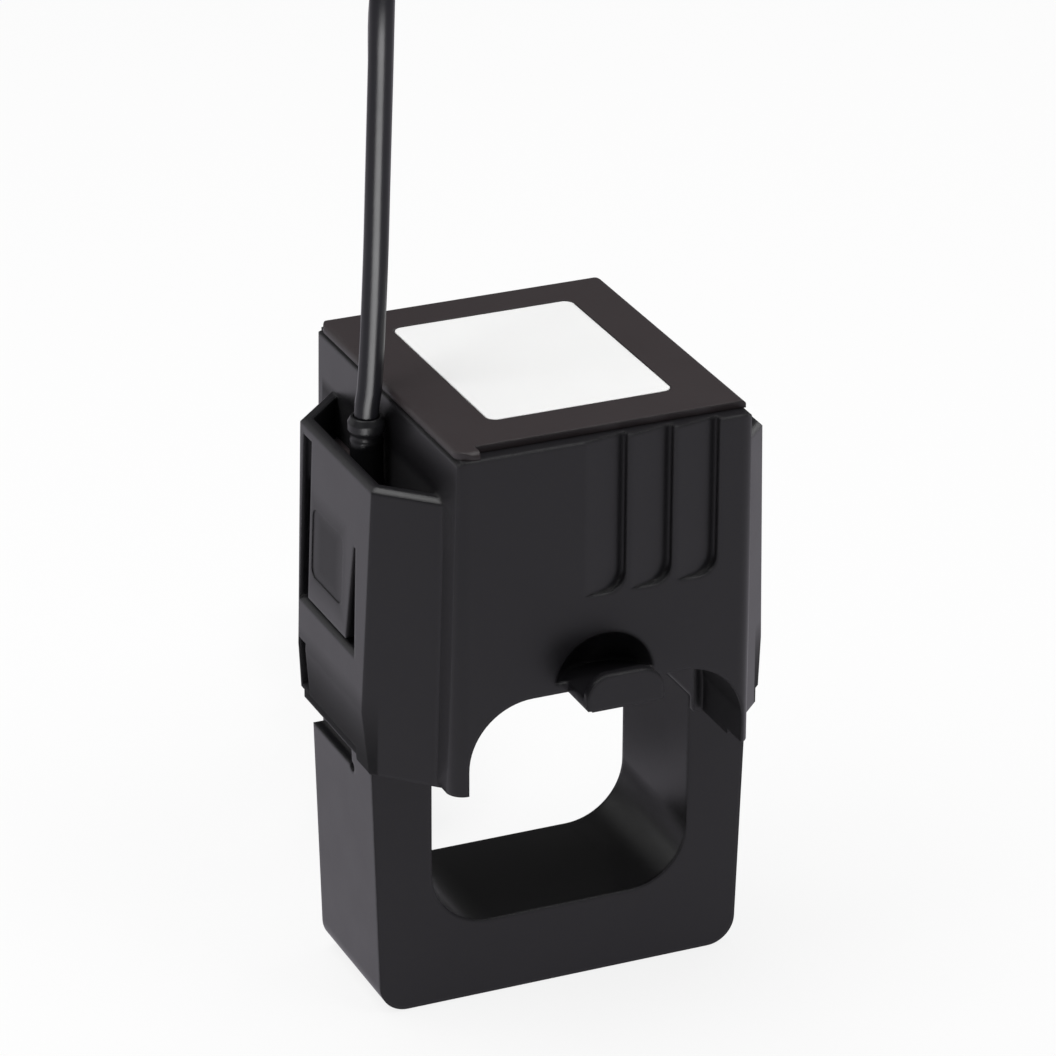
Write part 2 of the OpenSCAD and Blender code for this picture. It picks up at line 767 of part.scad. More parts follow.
// Turned boot with a seat on the seal and two rings
module cable_boot() {
    hole = boot_hole / 2;
    neck = neck_dia / 2;
    ring = boot_dia / 2;
    top = seal_z + boot_h;
    color("#232226") translate([boot_x, 0, 0]) rotate_extrude()
        polygon([[hole, well_z], [neck, well_z], [neck, seal_z], [ring - 0.2, seal_z],
            [ring - 0.2, seal_z + 1.2], [neck, seal_z + 1.8],
            [neck, top - 4.9], [ring - 0.3, top - 4.4], [ring - 0.3, top - 3.7], [neck - 0.1, top - 3.2],
            [neck - 0.1, top - 2.8], [ring, top - 2], [ring, top - 0.9], [ring - 0.5, top], [hole, top]]);
}

module output_cable() {
    color("#202023") tube(route, cable_dia / 2);
}

// Places a thing in the hank's own direction, from the centre of its near fold
module in_hank() {
    translate([hank_x, hank_y, 0]) rotate([0, 0, hank_turn]) children();
}

module cable_hank() {
    color("#202023") in_hank() {
        along_y(hank_w) {
            for (x = [0, hank_span]) translate([x, hank_r]) circle(hank_r);
            translate([0, hank_r - waist_h]) square([hank_span, 2 * waist_h]);
        }
        translate([-tail_l, tail_y, cable_dia / 2]) rotate([0, 90, 0])
            cylinder(d = cable_dia, h = tail_l);
    }
}

module hank_tie() {
    color("#3a3a3d") in_hank() translate([hank_span / 2, 0, hank_r]) difference() {
        cube([6, hank_w + 2 * tie_t, 2 * waist_h + 2 * tie_t], center = true);
        cube([8, hank_w + 0.1, 2 * waist_h + 0.1], center = true);
    }
}

// One insulated core, laid on the floor past the end of the jacket
module strand(y) {
    in_hank() translate([-tail_l, tail_y + y, strand_dia / 2 + 0.4]) rotate([0, -90, 0])
        cylinder(d = strand_dia, h = strand_l);
}

module cable_core_brown() {
    color("#6b3f22") strand(-1);
}

module cable_core_white() {
    color("#e9e7e0") strand(1);
}

module wire_ferrules() {
    for (y = [-1, 1]) color("#c9ccd1") in_hank()
        translate([-tail_l - strand_l, tail_y + y, strand_dia / 2 + 0.4]) rotate([0, -90, 0]) {
            cylinder(d = 1.9, h = 2);
            cylinder(d = 1.1, h = ferrule_l);
        }
}

yoke_housing();
yoke_cover();
lower_core();
core_spring();
head_housing();
top_cover();
rating_label();
upper_core();
bobbin();
secondary_winding();
winding_wrap();
lead_wire_start();
lead_wire_finish();
splice_sleeves();
cable_end_seal();
blank_end_seal();
cable_boot();
output_cable();
cable_hank();
hank_tie();
cable_core_brown();
cable_core_white();
wire_ferrules();
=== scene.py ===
"""Dressed model of a split core current transformer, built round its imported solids.

The solids give every form. This script lays the output cable along its route as one smooth
tube, gives each piece its finish, with moulded edges that look soft, and sets up the studio.
"""

from __future__ import annotations

import json
import logging
import math
from collections.abc import Mapping, Sequence
from dataclasses import dataclass
from enum import Enum

import bmesh
import bpy
from mathutils import Matrix, Vector


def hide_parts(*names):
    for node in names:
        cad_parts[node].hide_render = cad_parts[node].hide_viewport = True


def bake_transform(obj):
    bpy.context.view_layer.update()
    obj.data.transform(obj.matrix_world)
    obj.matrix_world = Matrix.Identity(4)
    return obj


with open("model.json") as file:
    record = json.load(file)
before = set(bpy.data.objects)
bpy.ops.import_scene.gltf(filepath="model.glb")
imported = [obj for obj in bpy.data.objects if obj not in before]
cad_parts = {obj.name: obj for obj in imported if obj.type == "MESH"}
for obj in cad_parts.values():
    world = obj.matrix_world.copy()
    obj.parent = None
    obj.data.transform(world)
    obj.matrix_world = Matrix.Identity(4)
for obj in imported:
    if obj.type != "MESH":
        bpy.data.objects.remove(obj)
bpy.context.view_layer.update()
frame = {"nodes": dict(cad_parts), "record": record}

LOG = logging.getLogger("current_transformer")
MM = 0.001
WHITE = (1.0, 1.0, 1.0, 1.0)

Triple = tuple[float, float, float]
Socket = bpy.types.NodeSocket
Inputs = Mapping[str | int, object]


class Body(Enum):
    """Rigid bodies of the part."""

    YOKE = "yoke"
    HEAD = "head"


class Surface(Enum):
    """Kinds of surface relief that a finish can have."""

    MOULDED = "moulded"
    LAYERED = "layered"
    SMOOTH = "smooth"


class SocketKind(Enum):
    """Kinds of socket that the node groups have."""

    NUMBER = "NodeSocketFloat"
    VECTOR = "NodeSocketVector"


SHORT_FADE: Triple = (0.3, 0.3, 0.3)


@dataclass(frozen=True)
class Zone:
    """Upright box with a roughness of its own, in millimetres.

    Attributes:
        low: lower corner of the box.
        high: upper corner of the box.
        roughness: roughness inside the box.
        fade_low: widths over which it fades in from the lower corner's three faces.
        fade_high: widths over which it fades out towards the upper corner's three faces.
    """

    low: Triple
    high: Triple
    roughness: float
    fade_low: Triple = SHORT_FADE
    fade_high: Triple = SHORT_FADE

    def opposite(self) -> Zone:
        """Turns the zone half a turn about the upright axis.

        Returns:
            The same zone on the opposite side.
        """
        (x_low, y_low, z_low), (x_high, y_high, z_high) = self.low, self.high
        (a_low, b_low, c_low), (a_high, b_high, c_high) = self.fade_low, self.fade_high
        return Zone((-x_high, -y_high, z_low), (-x_low, -y_low, z_high), self.roughness,
                    (a_high, b_high, c_low), (a_low, b_low, c_high))


@dataclass(frozen=True)
class Finish:
    """Looks of one material slot, with lengths in millimetres.

    Attributes:
        slot: name of the record's material slot.
        colour: base colour, linear.
        shade: second colour that the first drifts to.
        roughness: middle roughness.
        spread: how far the roughness wanders.
        surface: kind of relief.
        grain: size of the relief.
        depth: height of the relief.
        edge: radius that sharp edges seem to have.
        metallic: 1 for bare metal.
        specular: specular level of the shader.
        coat: weight of a clear coat.
        zones: places with a coarser texture.
    """

    slot: str
    colour: Triple
    shade: Triple
    roughness: float
    spread: float = 0.06
    surface: Surface = Surface.MOULDED
    grain: float = 0.35
    depth: float = 0.01
    edge: float = 0.4
    metallic: float = 0.0
    specular: float = 0.5
    coat: float = 0.0
    zones: tuple[Zone, ...] = ()


class NodeBench:
    """A node tree with short calls to add its nodes and to feed them.

    Attributes:
        tree: the node tree.
    """

    def __init__(self, tree: bpy.types.NodeTree) -> None:
        """Takes the tree to work on."""
        self.tree = tree

    @classmethod
    def group(cls, name: str, inputs: Sequence[str], outputs: Sequence[str], given: SocketKind,
              made: SocketKind) -> NodeBench:
        """Starts a node group.

        Args:
            name: name of the group.
            inputs: names of its inputs.
            outputs: names of its outputs.
            given: kind of the inputs.
            made: kind of the outputs.

        Returns:
            The bench of the new group.
        """
        tree = bpy.data.node_groups.new(name, "ShaderNodeTree")
        for way, labels, kind in (("INPUT", inputs, given), ("OUTPUT", outputs, made)):
            for label in labels:
                tree.interface.new_socket(label, in_out=way, socket_type=kind.value)
        return cls(tree)

    def feed(self, node: bpy.types.Node, inputs: Inputs) -> bpy.types.Node:
        """Sets inputs of a node.

        Args:
            node: node to set.
            inputs: for each input, a constant or the output that it is linked from.

        Returns:
            The same node.
        """
        for label, value in inputs.items():
            if isinstance(value, Socket):
                self.tree.links.new(value, node.inputs[label])
            else:
                node.inputs[label].default_value = value
        return node

    def add(self, kind: str, inputs: Inputs | None = None, **settings: object) -> bpy.types.Node:
        """Adds a node.

        Args:
            kind: type of the node.
            inputs: what feeds its inputs.
            **settings: properties of the node, set before its inputs.

        Returns:
            The node.
        """
        node = self.tree.nodes.new(kind)
        for name, value in settings.items():
            setattr(node, name, value)
        return self.feed(node, inputs or {})

    def number(self, operation: str, first: Socket, second: Socket | float, clamp: bool = False) -> Socket:
        """Adds a step of arithmetic, clamped to 0 and 1 if wanted, and returns its result."""
        step = self.add("ShaderNodeMath", {0: first, 1: second}, operation=operation, use_clamp=clamp)
        return step.outputs["Value"]

    def vector(self, operation: str, first: Socket, second: Socket) -> Socket:
        """Adds a step of arithmetic on vectors and returns its result."""
        step = self.add("ShaderNodeVectorMath", {0: first, 1: second}, operation=operation)
        return step.outputs["Vector"]


class ReliefGroups:
    """Shader node groups that the finishes share.

    Attributes:
        relief: the group of each kind of surface.
        edge: the group that rounds sharp edges.
        zone: the group that masks a box.
    """

    # Scales are per metre and details in octaves
    TONE_SCALE = 55.0
    TONE_DETAIL = 3.0
    HAZE_SCALE = 140.0
    HAZE_DETAIL = 4.0
    GRAIN_DETAIL = 2.0
    SWELL_DETAIL = 1.0
    LAYER_WAVER = 0.4
    EDGE_SAMPLES = 4

    def __init__(self) -> None:
        """Builds every group once."""
        self.relief: dict[Surface, bpy.types.NodeTree] = {
            Surface.MOULDED: self._moulded(),
            Surface.LAYERED: self._layered(),
            Surface.SMOOTH: self._smooth(),
        }
        self.edge = self._rounded_edge()
        self.zone = self._box_mask()

    @staticmethod
    def _box_mask() -> bpy.types.NodeTree:
        """Makes a mask that is 1 inside an upright box and fades to 0 at its faces.

        Returns:
            The finished group.
        """
        bench = NodeBench.group("box_mask", ("Low", "High", "Fade Low", "Fade High"), ("Mask",),
                                SocketKind.VECTOR, SocketKind.NUMBER)
        box = bench.add("NodeGroupInput").outputs
        place = bench.add("ShaderNodeTexCoord").outputs["Object"]
        above = bench.vector("DIVIDE", bench.vector("SUBTRACT", place, box["Low"]), box["Fade Low"])
        below = bench.vector("DIVIDE", bench.vector("SUBTRACT", box["High"], place), box["Fade High"])
        axes = bench.add("ShaderNodeSeparateXYZ", {"Vector": bench.vector("MINIMUM", above, below)}).outputs
        mask = axes["X"]
        for axis in ("Y", "Z"):
            mask = bench.number("MINIMUM", mask, axes[axis], clamp=True)
        bench.add("NodeGroupOutput", {"Mask": mask})
        return bench.tree

    def _rounded_edge(self) -> bpy.types.NodeTree:
        """Makes normals that are rounded over sharp edges.

        Returns:
            The finished group.
        """
        bench = NodeBench.group("rounded_edge", ("Radius",), ("Normal",),
                                SocketKind.NUMBER, SocketKind.VECTOR)
        radius = bench.add("NodeGroupInput").outputs["Radius"]
        rounding = bench.add("ShaderNodeBevel", {"Radius": radius}, samples=self.EDGE_SAMPLES)
        bench.add("NodeGroupOutput", {"Normal": rounding.outputs["Normal"]})
        return bench.tree

    @staticmethod
    def _start(name: str) -> tuple[NodeBench, Socket, Socket]:
        """Starts a relief group.

        Args:
            name: name of the group.

        Returns:
            Its bench, its scale and the object coordinates.
        """
        bench = NodeBench.group(name, ("Scale",), ("Height", "Tone", "Haze"),
                                SocketKind.NUMBER, SocketKind.NUMBER)
        scale = bench.add("NodeGroupInput").outputs["Scale"]
        place = bench.add("ShaderNodeTexCoord").outputs["Object"]
        return bench, scale, place

    @staticmethod
    def _noise(bench: NodeBench, place: Socket, scale: Socket | float, detail: float) -> Socket:
        """Adds a noise with a scale per metre and a detail in octaves, and returns its value."""
        noise = bench.add("ShaderNodeTexNoise", {"Vector": place, "Scale": scale, "Detail": detail})
        return noise.outputs["Fac"]

    def _finish_group(self, bench: NodeBench, place: Socket, height: Socket) -> bpy.types.NodeTree:
        """Puts out the relief with two slow drifts, of colour and of roughness.

        Args:
            bench: bench of the group.
            place: object coordinates.
            height: the relief.

        Returns:
            The finished group.
        """
        tone = self._noise(bench, place, self.TONE_SCALE, self.TONE_DETAIL)
        haze = self._noise(bench, place, self.HAZE_SCALE, self.HAZE_DETAIL)
        bench.add("NodeGroupOutput", {"Height": height, "Tone": tone, "Haze": haze})
        return bench.tree

    def _moulded(self) -> bpy.types.NodeTree:
        """Makes the fine spark-eroded grain of a moulding tool.

        Returns:
            The finished group.
        """
        bench, scale, place = self._start("moulded_grain")
        fine = self._noise(bench, place, scale, self.GRAIN_DETAIL)
        cells = bench.add("ShaderNodeTexVoronoi", {"Vector": place, "Scale": scale}, feature="SMOOTH_F1")
        return self._finish_group(bench, place, bench.number("ADD", fine, cells.outputs["Distance"]))

    def _layered(self) -> bpy.types.NodeTree:
        """Makes even layers side by side along X, for wound strip and wire.

        Returns:
            The finished group.
        """
        bench, scale, place = self._start("even_layers")
        layers = {"Vector": place, "Scale": scale, "Distortion": self.LAYER_WAVER}
        wave = bench.add("ShaderNodeTexWave", layers, bands_direction="X")
        return self._finish_group(bench, place, wave.outputs["Fac"])

    def _smooth(self) -> bpy.types.NodeTree:
        """Returns a group with a slow swell, for film, jackets and rubber."""
        bench, scale, place = self._start("smooth_swell")
        return self._finish_group(bench, place, self._noise(bench, place, scale, self.SWELL_DETAIL))


class FinishShop:
    """Turns finishes into materials and dresses pieces in them.

    Attributes:
        groups: node groups that the materials share.
        materials: the material of each slot.
        slot_of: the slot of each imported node.
    """

    def __init__(self, finishes: Sequence[Finish]) -> None:
        """Builds the groups and every material.

        Args:
            finishes: the finishes of the part.
        """
        self.groups = ReliefGroups()
        self.materials = {f.slot: self._material(f) for f in finishes}
        self.slot_of = {s["node"]: s["material_slot"] for s in frame["record"]["subparts"]}

    def _roughness(self, bench: NodeBench, finish: Finish, haze: Socket) -> Socket:
        """Makes the roughness, with the zones laid over each other.

        Args:
            bench: bench of the material.
            finish: what it looks like.
            haze: slow drift.

        Returns:
            The roughness.
        """
        span = {"To Min": finish.roughness - finish.spread, "To Max": finish.roughness + finish.spread}
        roughness = bench.add("ShaderNodeMapRange", {"Value": haze, **span}).outputs["Result"]
        for zone in finish.zones:
            box = {"Low": zone.low, "High": zone.high, "Fade Low": zone.fade_low, "Fade High": zone.fade_high}
            corners = {label: [v * MM for v in lengths] for label, lengths in box.items()}
            mask = bench.add("ShaderNodeGroup", corners, node_tree=self.groups.zone).outputs["Mask"]
            matt = bench.add("ShaderNodeMix", {"Factor": mask, "A": roughness, "B": zone.roughness})
            roughness = matt.outputs["Result"]
        return roughness

    def _normal(self, bench: NodeBench, finish: Finish, height: Socket) -> Socket:
        """Makes the normals, with rounded edges under the relief.

        Args:
            bench: bench of the material.
            finish: what it looks like.
            height: the relief.

        Returns:
            The normals.
        """
        edge = bench.add("ShaderNodeGroup", {"Radius": finish.edge * MM}, node_tree=self.groups.edge)
        relief = {"Strength": 1.0, "Distance": finish.depth * MM, "Height": height}
        return bench.add("ShaderNodeBump", {**relief, "Normal": edge.outputs["Normal"]}).outputs["Normal"]

    def _material(self, finish: Finish) -> bpy.types.Material:
        """Builds one material.

        Args:
            finish: what it looks like.

        Returns:
            The material.
        """
        material = bpy.data.materials.new(finish.slot)
        material.use_nodes = True
        bench = NodeBench(material.node_tree)
        relief = bench.add("ShaderNodeGroup", {"Scale": 1.0 / (finish.grain * MM)},
                           node_tree=self.groups.relief[finish.surface]).outputs
        drift = {"Factor": relief["Tone"], "A": (*finish.colour, 1.0), "B": (*finish.shade, 1.0)}
        bench.feed(material.node_tree.nodes["Principled BSDF"], {
            "Base Color": bench.add("ShaderNodeMix", drift, data_type="RGBA").outputs["Result"],
            "Roughness": self._roughness(bench, finish, relief["Haze"]),
            "Normal": self._normal(bench, finish, relief["Height"]),
            "Metallic": finish.metallic,
            "Specular IOR Level": finish.specular,
            "Coat Weight": finish.coat,
        })
        return material

    def dress(self, piece: bpy.types.Object, slot: str) -> None:
        """Gives a piece the material of a slot.

        Args:
            piece: object to dress.
            slot: name of the slot.
        """
        piece.data.materials.clear()
        piece.data.materials.append(self.materials[slot])
        LOG.info("dressed %s in %s", piece.name, slot)

    def dress_node(self, node: str) -> None:
        """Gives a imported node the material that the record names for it."""
        self.dress(frame["nodes"][node], self.slot_of[node])


# Places of the head with a coarser texture: front arch, left well, left press mark and left foot.
# The yoke has the same finish, so the well begins above the tenons.
ARCH = Zone((-22.65, -26.9, 41.0), (22.65, -13.55, 56.9), roughness=1.0)
WELL = Zone((-23.4, -25.0, 66.0), (-21.8, 25.0, 89.0), roughness=1.0, fade_high=(0.3, 0.3, 4.0))
PRESS_MARK = Zone((-33.0, -5.5, 62.0), (-30.0, 10.0, 79.0), roughness=0.55, fade_low=(0.3, 5.0, 5.0),
                  fade_high=(0.3, 5.0, 5.0))
FOOT = Zone((-33.0, -14.6, 41.9), (-30.0, 14.6, 55.0), roughness=0.95, fade_high=(0.3, 0.3, 11.0))
HEAD_ZONES: tuple[Zone, ...] = tuple(
    side for zone in (ARCH, WELL, PRESS_MARK, FOOT) for side in (zone, zone.opposite())
)

FINISHES: tuple[Finish, ...] = (
    Finish("housing_black", (0.0095, 0.009, 0.0106), (0.012, 0.0114, 0.0132), roughness=0.33, spread=0.04,
           depth=0.004, edge=0.9, specular=0.43, zones=HEAD_ZONES),
    Finish("cover_black", (0.028, 0.0215, 0.023), (0.031, 0.024, 0.0255), roughness=0.42, spread=0.04,
           depth=0.004),
    Finish("label_white", (0.9, 0.9, 0.895), (0.87, 0.87, 0.865), roughness=0.55, spread=0.04,
           surface=Surface.SMOOTH, grain=4.0),
    Finish("core_steel", (0.42, 0.43, 0.46), (0.33, 0.34, 0.37), roughness=0.34, spread=0.08,
           surface=Surface.LAYERED, grain=1.8, depth=0.02, metallic=1.0),
    Finish("spring_steel", (0.56, 0.57, 0.59), (0.5, 0.51, 0.53), roughness=0.28,
           surface=Surface.LAYERED, grain=1.0, depth=0.006, metallic=1.0),
    Finish("bobbin_natural", (0.7, 0.66, 0.55), (0.66, 0.61, 0.5), roughness=0.45),
    Finish("winding_copper", (0.6, 0.24, 0.09), (0.48, 0.16, 0.05), roughness=0.3, spread=0.05,
           surface=Surface.LAYERED, grain=1.6, depth=0.08, metallic=1.0, coat=0.3),
    Finish("wrap_yellow", (0.68, 0.48, 0.05), (0.6, 0.41, 0.04), roughness=0.25, spread=0.05,
           surface=Surface.SMOOTH, grain=3.0, depth=0.03),
    Finish("wire_brown", (0.15, 0.06, 0.025), (0.12, 0.05, 0.02), roughness=0.35, spread=0.05,
           surface=Surface.SMOOTH, grain=2.0),
    Finish("wire_white", (0.8, 0.79, 0.74), (0.75, 0.74, 0.69), roughness=0.35, spread=0.05,
           surface=Surface.SMOOTH, grain=2.0),
    Finish("sleeve_black", (0.015, 0.015, 0.017), (0.02, 0.02, 0.022), roughness=0.5,
           surface=Surface.SMOOTH, grain=2.0, depth=0.02),
    Finish("boot_rubber", (0.007, 0.007, 0.008), (0.009, 0.009, 0.01), roughness=0.34, spread=0.04,
           surface=Surface.SMOOTH, grain=2.0, depth=0.02, specular=0.32),
    Finish("cable_jacket", (0.0065, 0.0065, 0.008), (0.0085, 0.0085, 0.0105), roughness=0.3, spread=0.03,
           surface=Surface.SMOOTH, grain=4.0, depth=0.03, edge=0.0, specular=0.28),
    Finish("tie_black", (0.03, 0.03, 0.032), (0.04, 0.04, 0.042), roughness=0.45),
    Finish("ferrule_tin", (0.62, 0.63, 0.65), (0.55, 0.56, 0.58), roughness=0.25,
           surface=Surface.SMOOTH, grain=1.0, depth=0.005, metallic=1.0),
)


@dataclass(frozen=True)
class Lamp:
    """Soft square lamp.

    Attributes:
        name: name of the lamp.
        place: where it stands, in metres.
        size: side of the lamp, in metres.
        power: power in watts.
        target: what it points at, in metres.
    """

    name: str
    place: Triple
    size: float
    power: float
    target: Triple = (0.0, 0.0, 0.05)


LAMPS: tuple[Lamp, ...] = (
    Lamp("back_left", (-0.75, 0.7, 0.5), 0.8, 1.5),
    Lamp("back_right", (0.85, 0.3, 0.4), 0.6, 2.0),
    Lamp("upper_left", (-0.62, -0.08, 0.95), 0.5, 3.5),
    Lamp("upper_front", (0.36, -0.44, 0.92), 0.4, 2.4),
    Lamp("overhead", (-0.1, 0.2, 1.1), 0.8, 6.7),
)
FRONT_CARD = Lamp("front_card", (-0.14, -0.31, 0.01), 0.3, 3.6, (-0.14, -0.31, 0.2))


@dataclass
class Studio:
    """Camera, lamps, world and floor.

    Attributes:
        eye: place of the camera, in metres.
        right: direction to the right in the picture.
        up: direction upwards in the picture.
        lens: focal length on the sensor, in millimetres.
        sensor: width of the sensor, in millimetres.
        clip: nearest and furthest distance that the camera sees, in metres.
        ambient: strength of the light that the surround gives.
        floor_half: half the side of the floor, in metres.
        floor_drop: how far the floor lies below the object, in metres.
        floor_colour: colour of the floor under the lamps.
        floor_roughness: roughness of the floor.
        floor_mirrored: colour of the glow that glossy pieces mirror.
        floor_share: share of the glow in what the camera and glossy pieces see.
    """

    eye: Triple = (-0.29589, -0.67241, 0.40936)
    right: Triple = (0.9164, -0.4002, 0.0049)
    up: Triple = (0.1636, 0.3858, 0.9080)
    lens: float = 185.25
    sensor: float = 36.0
    clip: tuple[float, float] = (0.01, 50.0)
    ambient: float = 0.08
    floor_half: float = 6.0
    floor_drop: float = 0.0002
    floor_colour: Triple = (0.9, 0.9, 0.9)
    floor_roughness: float = 0.9
    floor_mirrored: Triple = (0.6, 0.57, 0.64)
    floor_share: float = 0.85

    def build_camera(self) -> bpy.types.Object:
        """Makes the camera at the photograph's viewing angle.

        Returns:
            The camera object, set as the scene's camera.
        """
        data = bpy.data.cameras.new("camera")
        data.lens = self.lens
        data.sensor_width = self.sensor
        data.clip_start, data.clip_end = self.clip
        camera = bpy.data.objects.new("camera", data)
        right = Vector(self.right).normalized()
        up = (Vector(self.up) - Vector(self.up).dot(right) * right).normalized()
        turn = Matrix((right, up, right.cross(up))).transposed()
        camera.matrix_world = Matrix.Translation(self.eye) @ turn.to_4x4()
        bpy.context.scene.collection.objects.link(camera)
        bpy.context.scene.camera = camera
        return camera

    @staticmethod
    def _lamp(lamp: Lamp) -> bpy.types.Object:
        """Adds a soft square lamp that points at its target.

        Args:
            lamp: what to make.

        Returns:
            The lamp object.
        """
        data = bpy.data.lights.new(lamp.name, "AREA")
        data.shape = "SQUARE"
        data.size = lamp.size
        data.energy = lamp.power
        made = bpy.data.objects.new(lamp.name, data)
        made.location = lamp.place
        aim = Vector(lamp.target) - Vector(lamp.place)
        made.rotation_euler = aim.to_track_quat("-Z", "Y").to_euler()
        bpy.context.scene.collection.objects.link(made)
        return made

    def build_lamps(self, glossy: Sequence[bpy.types.Object]) -> None:
        """Makes the lamps, with a low card in front that lights only the glossy pieces.

        Args:
            glossy: pieces that the card lights.
        """
        for lamp in LAMPS:
            self._lamp(lamp)
        mirrors = bpy.data.collections.new("card_mirrors")
        for piece in glossy:
            mirrors.objects.link(piece)
        self._lamp(FRONT_CARD).light_linking.receiver_collection = mirrors

    def build_world(self) -> None:
        """Makes a surround that the camera sees white and that lights the object dimly."""
        world = bpy.data.worlds.new("surround")
        bpy.context.scene.world = world
        world.use_nodes = True
        nodes = world.node_tree.nodes
        bench = NodeBench(world.node_tree)
        shown = bench.feed(nodes["Background"], {"Color": WHITE, "Strength": 1.0})
        lighting = bench.add("ShaderNodeBackground", {"Color": WHITE, "Strength": self.ambient})
        mix = bench.add("ShaderNodeMixShader", {
            "Fac": bench.add("ShaderNodeLightPath").outputs["Is Camera Ray"],
            1: lighting.outputs["Background"],
            2: shown.outputs["Background"],
        })
        bench.feed(nodes["World Output"], {"Surface": mix.outputs["Shader"]})

    def _floor_material(self) -> bpy.types.Material:
        """Makes a white that glows for the camera and for glossy pieces and keeps a soft shadow.

        Returns:
            The floor's material.
        """
        material = bpy.data.materials.new("floor_white")
        material.use_nodes = True
        nodes = material.node_tree.nodes
        bench = NodeBench(material.node_tree)
        paint = {"Base Color": (*self.floor_colour, 1.0), "Roughness": self.floor_roughness}
        lit = bench.feed(nodes["Principled BSDF"], paint)
        ray = bench.add("ShaderNodeLightPath").outputs
        tint = {"Factor": ray["Is Camera Ray"], "A": (*self.floor_mirrored, 1.0), "B": WHITE}
        colour = bench.add("ShaderNodeMix", tint, data_type="RGBA").outputs["Result"]
        glow = bench.add("ShaderNodeEmission", {"Color": colour})
        seen = bench.number("MAXIMUM", ray["Is Camera Ray"], ray["Is Glossy Ray"])
        mix = bench.add("ShaderNodeMixShader", {
            "Fac": bench.number("MULTIPLY", seen, self.floor_share),
            1: lit.outputs["BSDF"],
            2: glow.outputs["Emission"],
        })
        bench.feed(nodes["Material Output"], {"Surface": mix.outputs["Shader"]})
        return material

    def build_floor(self) -> bpy.types.Object:
        """Makes the pale floor.

        Returns:
            The floor.
        """
        mesh = bpy.data.meshes.new("floor")
        bm = bmesh.new()
        bmesh.ops.create_grid(bm, x_segments=1, y_segments=1, size=self.floor_half)
        bmesh.ops.translate(bm, verts=bm.verts, vec=(0.0, 0.0, -self.floor_drop))
        bm.to_mesh(mesh)
        bm.free()
        mesh.materials.append(self._floor_material())
        floor = bpy.data.objects.new("floor", mesh)
        bpy.context.scene.collection.objects.link(floor)
        return floor

    def build(self, glossy: Sequence[bpy.types.Object]) -> None:
        """Makes lamps, world and floor, and sets the view transform.

        Args:
            glossy: pieces that the card in front lights.
        """
        bpy.context.scene.view_settings.view_transform = "Standard"
        self.build_lamps(glossy)
        self.build_world()
        self.build_floor()


